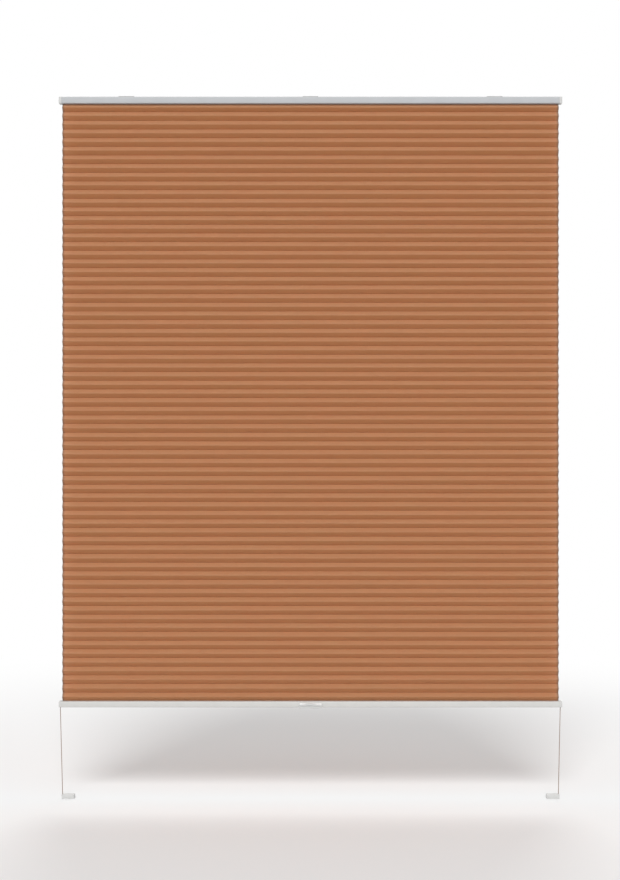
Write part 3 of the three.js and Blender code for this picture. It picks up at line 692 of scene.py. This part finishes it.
def cell_tree():
    """One cell: its section swept along the blind, with the cords' holes, wavy creases and no ends."""
    nodes, given, result = new_group(
        "honeycomb_cell", "GeometryNodeTree",
        [
            ("Upper Line", FLOAT, 0.0),
            ("Pitch", FLOAT, CELL_PITCH),
            ("Depth", FLOAT, CELL_DEPTH),
            ("Glue Width", FLOAT, GLUE_WIDTH),
            ("Width", FLOAT, 1.0),
            ("Glue Fold Radius", FLOAT, GLUE_FOLD_RADIUS),
            ("Crease Radius", FLOAT, CREASE_RADIUS),
            ("Cord Place", FLOAT, CORD_PLACE),
            ("Cord Hole", FLOAT, CORD_HOLE),
            ("Side Shade Width", FLOAT, SIDE_SHADE_WIDTH),
            ("Wave", FLOAT, CREASE_WAVE),
            ("Seed", FLOAT, 0.0),
            ("From Share", FLOAT, 0.0),
            ("To Share", FLOAT, 1.0),
            ("Cloth", MATERIAL, None),
        ],
        [("Geometry", GEOMETRY, None)],
    )
    swept, along = swept_section(nodes, given)
    marked = cloth_marks(nodes, given, swept, along)
    inputs = {"Geometry": marked, "Distance": MERGE_DISTANCE}
    welded = nodes.add("GeometryNodeMergeByDistance", inputs).outputs[0]
    opened = wanted_faces(nodes, given, welded)
    waved = wavy_creases(nodes, given, opened)
    outwards = nodes.add("GeometryNodeFlipFaces", {0: waved}).outputs[0]
    real = nodes.add("GeometryNodeRealizeInstances", {"Geometry": outwards}).outputs[0]
    inputs = {"Geometry": real, "Material": given["Cloth"]}
    clad = nodes.add("GeometryNodeSetMaterial", inputs).outputs[0]
    nodes.tree.links.new(clad, result["Geometry"])
    return nodes.tree


def swept_section(nodes, given):
    """A grid whose rows follow the section, and how far along the section each of its points lies."""
    section = section_corners(nodes, given)
    size = nodes.add("GeometryNodeAttributeDomainSize", {0: section}, component="CURVE").outputs
    count = size["Point Count"]
    rows = nodes.calc("ADD", count, 1)
    side_steps = OUTER_STEPS + 2  # with the strip of painted side shade and the cord's hole
    columns = 2 * side_steps + MIDDLE_STEPS + 1
    grid = nodes.add("GeometryNodeMeshGrid", {"Vertices X": columns, "Vertices Y": rows}).outputs[0]
    index = nodes.add("GeometryNodeInputIndex").outputs[0]
    row = nodes.calc("FLOORED_MODULO", nodes.calc("FLOORED_MODULO", index, rows), count)
    column = nodes.calc("FLOOR", nodes.calc("DIVIDE", nodes.calc("ADD", index, 0.5), rows))
    x = column_place(nodes, given, column)
    position = nodes.add("GeometryNodeInputPosition").outputs[0]
    length = nodes.add("GeometryNodeSplineParameter").outputs["Length"]
    _, y, z = nodes.parts(sampled(nodes, section, position, row, "FLOAT_VECTOR"))
    along = sampled(nodes, section, length, row, "FLOAT")
    inputs = {"Geometry": grid, "Position": nodes.vector(x, y, z)}
    return nodes.add("GeometryNodeSetPosition", inputs).outputs[0], along


def column_place(nodes, given, column):
    """Each column's place across the blind: narrow steps at the cut sides and at the cords' holes."""
    half = nodes.calc("DIVIDE", given["Width"], 2)
    hole_half = nodes.calc("DIVIDE", given["Cord Hole"], 2)
    inner = nodes.calc("SUBTRACT", given["Cord Place"], hole_half)
    side_shade = nodes.calc("SUBTRACT", half, given["Side Shade Width"])
    outer = nodes.calc("SUBTRACT", side_shade, nodes.calc("ADD", given["Cord Place"], hole_half))
    outer_step = nodes.calc("DIVIDE", outer, OUTER_STEPS)
    middle_step = nodes.calc("DIVIDE", nodes.calc("MULTIPLY", inner, 2), MIDDLE_STEPS)
    side = [(1, given["Side Shade Width"]), (OUTER_STEPS, outer_step), (1, given["Cord Hole"])]
    x = nodes.calc("SUBTRACT", 0, half)
    start = 0
    for steps, step in (*side, (MIDDLE_STEPS, middle_step), *reversed(side)):
        x = nodes.calc("ADD", x, ramp(nodes, column, start, steps, step))
        start += steps
    return x


def place_in_cell(nodes, given):
    """Each point's place across the blind, and the share of the cell's height that lies above it."""
    x, _, z = nodes.parts(nodes.add("GeometryNodeInputPosition").outputs[0])
    drop = nodes.calc("DIVIDE", nodes.calc("SUBTRACT", given["Upper Line"], z), given["Pitch"])
    return x, drop


def cloth_marks(nodes, given, geometry, along):
    """Stores each point's place on the flat cloth, its settled dust with painted sheen, and its
    painted shade near the cut sides.
    """
    x, drop = place_in_cell(nodes, given)
    piece = nodes.calc("MULTIPLY", given["Seed"], PATTERN_SHIFT)
    marked = stored(nodes, geometry, "cloth_place", nodes.vector(x, along, piece), "FLOAT_VECTOR")
    # dust and painted sheen on the upper faces, growing from the glue line towards the crease
    above = nodes.calc("MULTIPLY", nodes.calc("SUBTRACT", 0.5, drop), DUST_AND_SHEEN_EDGE)
    upper = nodes.calc("MINIMUM", nodes.calc("MAXIMUM", above, 0), 1)
    towards_crease = nodes.rising(*DUST_AND_SHEEN_DOWNWARDS, drop)
    with_dust_and_sheen = stored(nodes, marked, "dust_and_sheen", nodes.calc("MULTIPLY", upper, towards_crease))
    # painted shade that darkens the cloth towards either side
    half = nodes.calc("DIVIDE", given["Width"], 2)
    inset = nodes.calc("SUBTRACT", half, nodes.calc("ABSOLUTE", x))
    near = nodes.calc("SUBTRACT", 1, nodes.calc("DIVIDE", inset, given["Side Shade Width"]))
    return stored(nodes, with_dust_and_sheen, "painted_side_shade", nodes.calc("MAXIMUM", near, 0))


def wanted_faces(nodes, given, geometry):
    """Takes out the level faces over a cord's hole and the faces of a half that isn't wanted."""
    x, drop = place_in_cell(nodes, given)
    past_cord = nodes.calc("SUBTRACT", nodes.calc("ABSOLUTE", x), given["Cord Place"])
    from_cord = nodes.calc("ABSOLUTE", past_cord)
    over_hole = nodes.calc("LESS_THAN", from_cord, nodes.calc("DIVIDE", given["Cord Hole"], 2))
    up = nodes.parts(nodes.add("GeometryNodeInputNormal").outputs["Normal"])[2]
    is_level = nodes.calc("GREATER_THAN", nodes.calc("ABSOLUTE", up), LEVEL_LEAST)
    hole = nodes.calc("MULTIPLY", over_hole, is_level)
    before = nodes.calc("LESS_THAN", nodes.calc("ADD", drop, SHARE_MARGIN), given["From Share"])
    after = nodes.calc("GREATER_THAN", nodes.calc("SUBTRACT", drop, SHARE_MARGIN), given["To Share"])
    unwanted = nodes.calc("MAXIMUM", hole, nodes.calc("MAXIMUM", before, after))
    inputs = {"Geometry": geometry, "Selection": unwanted}
    return nodes.add("GeometryNodeDeleteGeometry", inputs, domain="FACE").outputs[0]


def wavy_creases(nodes, given, geometry):
    """Lets the creases wander in and out a little along the blind, and the glue lines lie still."""
    x, y, z = nodes.parts(nodes.add("GeometryNodeInputPosition").outputs[0])
    rise = nodes.calc("DIVIDE", given["Pitch"], 2)
    middle = nodes.calc("SUBTRACT", given["Upper Line"], rise)
    away = nodes.calc("DIVIDE", nodes.calc("ABSOLUTE", nodes.calc("SUBTRACT", z, middle)), rise)
    free = nodes.calc("MAXIMUM", nodes.calc("SUBTRACT", 1, away), 0)
    side = nodes.calc("SIGN", y)
    across = nodes.calc("DIVIDE", x, WAVE_LENGTH)
    place = nodes.vector(across, given["Seed"], nodes.calc("MULTIPLY", side, FACE_SHIFT))
    wave = nodes.calc("SUBTRACT", nodes.noise(place, 1, 2), 0.5)
    swing = nodes.calc("MULTIPLY", nodes.calc("MULTIPLY", wave, free), given["Wave"])
    sink = nodes.calc("MULTIPLY", swing, -CREASE_SINK)
    offset = nodes.vector(0, nodes.calc("MULTIPLY", swing, side), sink)
    inputs = {"Geometry": geometry, "Offset": offset}
    return nodes.add("GeometryNodeSetPosition", inputs).outputs[0]


def set_inputs(modifier, values):
    """Sets a geometry modifier's inputs by their sockets' identifiers."""
    for item in modifier.node_group.interface.items_tree:
        if item.item_type == "SOCKET" and item.in_out == "INPUT" and item.name in values:
            modifier[item.identifier] = values[item.name]


def work_in(piece):
    """Works the piece's modifiers into its mesh."""
    drawn = piece.evaluated_get(bpy.context.evaluated_depsgraph_get())
    mesh = bpy.data.meshes.new_from_object(drawn)
    bare = piece.data
    piece.modifiers.clear()
    piece.data = mesh
    mesh.name = piece.name
    bpy.data.meshes.remove(bare)
    return mesh


def new_piece(name, mesh=None):
    piece = bpy.data.objects.new(name, mesh or bpy.data.meshes.new(name))
    bpy.context.scene.collection.objects.link(piece)
    return piece


def turn_outwards(mesh):
    shape = bmesh.new()
    shape.from_mesh(mesh)
    bmesh.ops.remove_doubles(shape, verts=shape.verts, dist=MERGE_DISTANCE)
    bmesh.ops.recalc_face_normals(shape, faces=shape.faces)
    shape.to_mesh(mesh)
    shape.free()


def line_height(line):
    """The height of a glue line, counted from the top, or of a crease, half way between two lines.

    The first and last lines lie on the fabric strips, and all others are evenly spaced.
    """
    if line < 1:
        return cloth_top + line * (line_height(1) - cloth_top)
    if line > cell_count - 1:
        return cloth_bottom + (cell_count - line) * (line_height(cell_count - 1) - cloth_bottom)
    return LINES_MIDDLE + (cell_count / 2 - line) * LINE_STEP


def swept_cloth(name, tree, cloth, cell, shares, thickness, offset):
    """The cloth of one cell between two shares of its height, as a closed thin piece."""
    upper_line = line_height(cell)
    piece = new_piece(name)
    sweep = piece.modifiers.new("honeycomb_cell", "NODES")
    sweep.node_group = tree
    set_inputs(sweep, {
        "Upper Line": upper_line,
        "Pitch": upper_line - line_height(cell + 1),
        "Depth": cloth_depth,
        "Width": cloth_width,
        "Seed": float(cell),
        "From Share": shares[0],
        "To Share": shares[1],
        "Cloth": cloth,
    })
    wall = piece.modifiers.new("cloth_thickness", "SOLIDIFY")
    wall.thickness = thickness
    wall.offset = offset
    wall.use_even_offset = True
    mesh = work_in(piece)
    turn_outwards(mesh)
    mesh.shade_smooth()
    return piece


def make_folds(tree, cloth, cell):
    """The cell's two pressed folds, as a piece of their own."""
    shares = (0.5 - CREASE_SHARE, 0.5 + CREASE_SHARE)
    piece = swept_cloth(f"cell_{cell + 1:02d}_folds", tree, cloth, cell, shares, CREASE_THICKNESS, 1)
    piece.data.set_sharp_from_angle(angle=SHARP_ANGLE)
    height = line_height(cell + 0.5)
    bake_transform(piece)
    return piece


def make_cell_piece(name, tree, cloth, cell, shares):
    """The walls of a cell or of half a cell."""
    piece = swept_cloth(name, tree, cloth, cell, shares, CLOTH_THICKNESS, -1)
    piece.data.set_sharp_from_angle(angle=SOFT_EDGE_ANGLE)
    upper = line_height(cell + shares[0])
    lower = line_height(cell + shares[1])
    stretch_with_rail(piece)
    return piece


def stretch_with_rail(piece):
    """Bakes the piece's place into its mesh."""
    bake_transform(piece)


def make_cloth(cloth):
    tree = cell_tree()
    for cell in range(cell_count):
        name = f"cell_{cell + 1:02d}"
        folds = make_folds(tree, cloth, cell)
        if SPLIT_CELLS <= cell < cell_count - SPLIT_CELLS:
            make_cell_piece(name, tree, cloth, cell, (0.0, 1.0))
        else:
            make_cell_piece(f"{name}_upper", tree, cloth, cell, (0.0, 0.5))
            make_cell_piece(f"{name}_lower", tree, cloth, cell, (0.5, 1.0))
    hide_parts("cell_pack_upper", "cell_pack_middle", "cell_pack_lower")


# Cords


def rounded_route(corners):
    """Ring centres of a route whose corners are rounded to the cord's bend radius."""
    rings = [corners[0]]
    for before, corner, after in zip(corners, corners[1:], corners[2:]):
        inwards = (corner - before).normalized()
        onwards = (after - corner).normalized()
        centre = corner + CORD_BEND_RADIUS * (onwards - inwards)
        for step in range(CORD_BEND_STEPS + 1):
            angle = math.pi / 2 * step / CORD_BEND_STEPS
            outwards = math.sin(angle) * inwards - math.cos(angle) * onwards
            rings.append(centre + CORD_BEND_RADIUS * outwards)
    rings.append(corners[-1])
    return rings


def knot_rings(middle):
    """Ring centres of an overhand knot that is drawn tight round its middle."""
    rings = []
    for step in range(KNOT_STEPS + 1):
        turn = 2 * math.pi * step / KNOT_STEPS
        across = KNOT_REACH * (math.sin(turn) + 2 * math.sin(2 * turn)) / 3
        along = KNOT_REACH * (math.cos(turn) - 2 * math.cos(2 * turn)) / 3
        rings.append(middle + Vector((across, along, KNOT_RISE * math.sin(3 * turn))))
    return rings


def ring_points(rings, diameter):
    """The points of each ring, turned along the route without a twist."""
    points = []
    across = None
    for index, centre in enumerate(rings):
        before = rings[max(index - 1, 0)]
        after = rings[min(index + 1, len(rings) - 1)]
        ahead = (after - before).normalized()
        if across is None:
            across = ahead.orthogonal()
        across = (across - across.dot(ahead) * ahead).normalized()
        third = ahead.cross(across)
        for side in range(CORD_SIDES):
            angle = 2 * math.pi * side / CORD_SIDES
            points.append(centre + diameter / 2 * (math.cos(angle) * across + math.sin(angle) * third))
    return points


def cord_piece(name, rings, finish, diameter=CORD_DIAMETER):
    """A cord along its rings, with a map of how far round it and along it each point lies.

    The finish subtracts the height above the origin from the map, which keeps the braid's pitch
    on a cord that is stretched downwards, so the map of each other cord has that height added.
    """
    last = (len(rings) - 1) * CORD_SIDES
    faces = []
    for first in range(0, last, CORD_SIDES):
        for side in range(CORD_SIDES):
            after = (side + 1) % CORD_SIDES
            near = (first + side, first + after)
            far = (first + after + CORD_SIDES, first + side + CORD_SIDES)
            faces.append((*near, *far))
    faces.append(tuple(reversed(range(CORD_SIDES))))
    faces.append(tuple(range(last, last + CORD_SIDES)))
    mesh = bpy.data.meshes.new(name)
    mesh.from_pydata(ring_points(rings, diameter), [], faces)
    map_yarn(mesh, rings)
    mesh.shade_smooth()
    mesh.set_sharp_from_angle(angle=CORD_SHARP_ANGLE)
    mesh.materials.append(finish)
    piece = new_piece(name, mesh)
    return piece


def map_yarn(mesh, rings):
    """Maps the faces between a cord's rings, and not the two at its ends."""
    is_straight = len(rings) == 2
    lengths = [0.0]
    for before, after in zip(rings, rings[1:]):
        lengths.append(lengths[-1] + (after - before).length)
    along = [0 if is_straight else length + ring.z for length, ring in zip(lengths, rings)]
    yarn = mesh.uv_layers.new(name="yarn")
    for index, polygon in enumerate(mesh.polygons[:-2]):
        ring, side = divmod(index, CORD_SIDES)
        corners = ((side, ring), (side + 1, ring), (side + 1, ring + 1), (side, ring + 1))
        for loop, (around, place) in zip(polygon.loop_indices, corners):
            yarn.uv[loop].vector = (around / CORD_SIDES, along[place])


def for_hand(route, side):
    """The route's points on that side: the left cord is the right one turned half round."""
    return [Vector((side * x, side * y, z)) for x, y, z in route]


def make_bent_cord(stretch, word, route, finish):
    """A cord's stretch in a rail, which rides with it."""
    node_name = f"{stretch}_{word}"
    piece = cord_piece(f"{stretch}_yarn_{word}", rounded_route(route), finish)
    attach(piece, frame["nodes"][node_name]["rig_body"])
    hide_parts(node_name)


def make_cell_cord(word, route, finish):
    """A cord's stretch inside the cells, between the rails."""
    piece = cord_piece(f"cell_cord_yarn_{word}", route, finish)
    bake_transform(piece)
    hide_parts(f"cell_cord_{word}")


def make_knot(word, finish):
    node_name = f"foot_knot_{word}"
    low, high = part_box(node_name)
    knot = cord_piece(f"tied_knot_{word}", knot_rings((low + high) / 2), finish, KNOT_CORD_DIAMETER)
    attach(knot, frame["nodes"][node_name]["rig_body"])
    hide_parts(node_name)
    return knot


def make_free_cord(word, route, finish):
    """A cord's stretch from the bottom rail to its foot, where the knot ends it."""
    piece = cord_piece(f"lower_cord_yarn_{word}", route, finish)
    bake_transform(piece)
    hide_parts(f"lower_cord_{word}")


def make_cords(finish):
    for side, word in HANDS:
        make_bent_cord("headrail_cord", word, for_hand(HEADRAIL_CORD, side), finish)
        make_bent_cord("rail_cord", word, for_hand(RAIL_CORD, side), finish)
        make_cell_cord(word, for_hand(CELL_CORD, side), finish)
        knot = make_knot(word, finish)
        make_free_cord(word, for_hand(FREE_CORD, side), finish)


# Rigid pieces


def finished_copy(node_name, piece_name, edge_radius, finish):
    """A copy of a rigid node, with merged corners and softly rounded edges, that replaces it."""
    node = frame["nodes"][node_name]
    points = [vertex.co for vertex in node.data.vertices]
    faces = [tuple(polygon.vertices) for polygon in node.data.polygons]
    mesh = bpy.data.meshes.new(piece_name)
    mesh.from_pydata(points, [], faces)
    shape = bmesh.new()
    shape.from_mesh(mesh)
    bmesh.ops.remove_doubles(shape, verts=shape.verts, dist=MERGE_DISTANCE)
    bmesh.ops.dissolve_limit(shape, angle_limit=FLAT_ANGLE, verts=shape.verts, edges=shape.edges)
    bmesh.ops.recalc_face_normals(shape, faces=shape.faces)
    shape.to_mesh(mesh)
    shape.free()
    mesh.shade_smooth()
    piece = new_piece(piece_name, mesh)
    edges = piece.modifiers.new("rounded_edges", "BEVEL")
    edges.width = edge_radius
    edges.segments = EDGE_SEGMENTS
    edges.limit_method = "ANGLE"
    edges.angle_limit = SHARP_ANGLE
    edges.harden_normals = True
    work_in(piece)
    piece.data.materials.clear()
    piece.data.materials.append(finish)
    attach(piece, node["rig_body"])
    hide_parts(node_name)


def dress(node_name, finish):
    node = frame["nodes"][node_name]
    if not node.material_slots:
        node.data.materials.append(finish)
    for slot in node.material_slots:
        slot.material = finish


def make_rails(grain):
    # the headrail has the bottom rail's white coat, with painted shade in its tone
    shaded_coat = grained_finish("powder_coat_painted_shade", grain, SHADED_HEADRAIL_TONE, **POWDER_COAT)
    coat = grained_finish("white_powder_coat", grain, RAIL_TONE, **POWDER_COAT)
    finished_copy("headrail", "headrail_extrusion", RAIL_EDGE, shaded_coat)
    finished_copy("bottom_rail", "bottom_rail_extrusion", RAIL_EDGE, coat)


def make_mouldings(plastic):
    caps_and_covers = (
        ("headrail_cap", "headrail_end_cap", MOULDED_EDGE),
        ("bottom_rail_cap", "bottom_rail_end_cap", MOULDED_EDGE),
        ("foot_cover", "foot_housing", FOOT_EDGE),
    )
    for word in ("left", "right"):
        for node_name, piece_name, edge in caps_and_covers:
            finished_copy(f"{node_name}_{word}", f"{piece_name}_{word}", edge, plastic)
    for word in ("left", "centre", "right"):
        finished_copy(f"clip_{word}", f"mounting_clip_{word}", MOULDED_EDGE, plastic)


def dress_inner_pieces(plastic, steel):
    for name in ("top_fabric_strip", "bottom_fabric_strip", "spring_anchor"):
        dress(name, plastic)
    for word in ("left", "right"):
        for name in ("headrail_cord_guide", "rail_cord_guide", "foot_base"):
            dress(f"{name}_{word}", plastic)
        for name in ("tension_spring", "spring_ferrule"):
            dress(f"{name}_{word}", steel)


# The blind

pack_low, pack_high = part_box("cell_pack_upper")
cloth_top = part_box("top_fabric_strip")[0].z
cloth_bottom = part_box("bottom_fabric_strip")[1].z
cloth_width = pack_high.x - pack_low.x
cloth_depth = pack_high.y - pack_low.y
cell_count = round((cloth_top - cloth_bottom) / CELL_PITCH)

make_camera(pack_low.y)
make_world()
make_lights()
make_floor(cad_box[0].z)
make_cords(cord_finish(braid()))
make_cloth(cloth_finish(spun_cloth()))

surface = surface_grain()
moulded_plastic = grained_finish("moulded_plastic", surface, PLASTIC_TONE, **MOULDED)
spring_steel = grained_finish("spring_steel", surface, STEEL_TONE, **DRAWN_STEEL)
make_rails(surface)
make_mouldings(moulded_plastic)
finished_copy("pull_handle", "pull_tab", TAB_EDGE, tab_finish(surface))
dress_inner_pieces(moulded_plastic, spring_steel)

bpy.context.scene.view_settings.view_transform = "Standard"
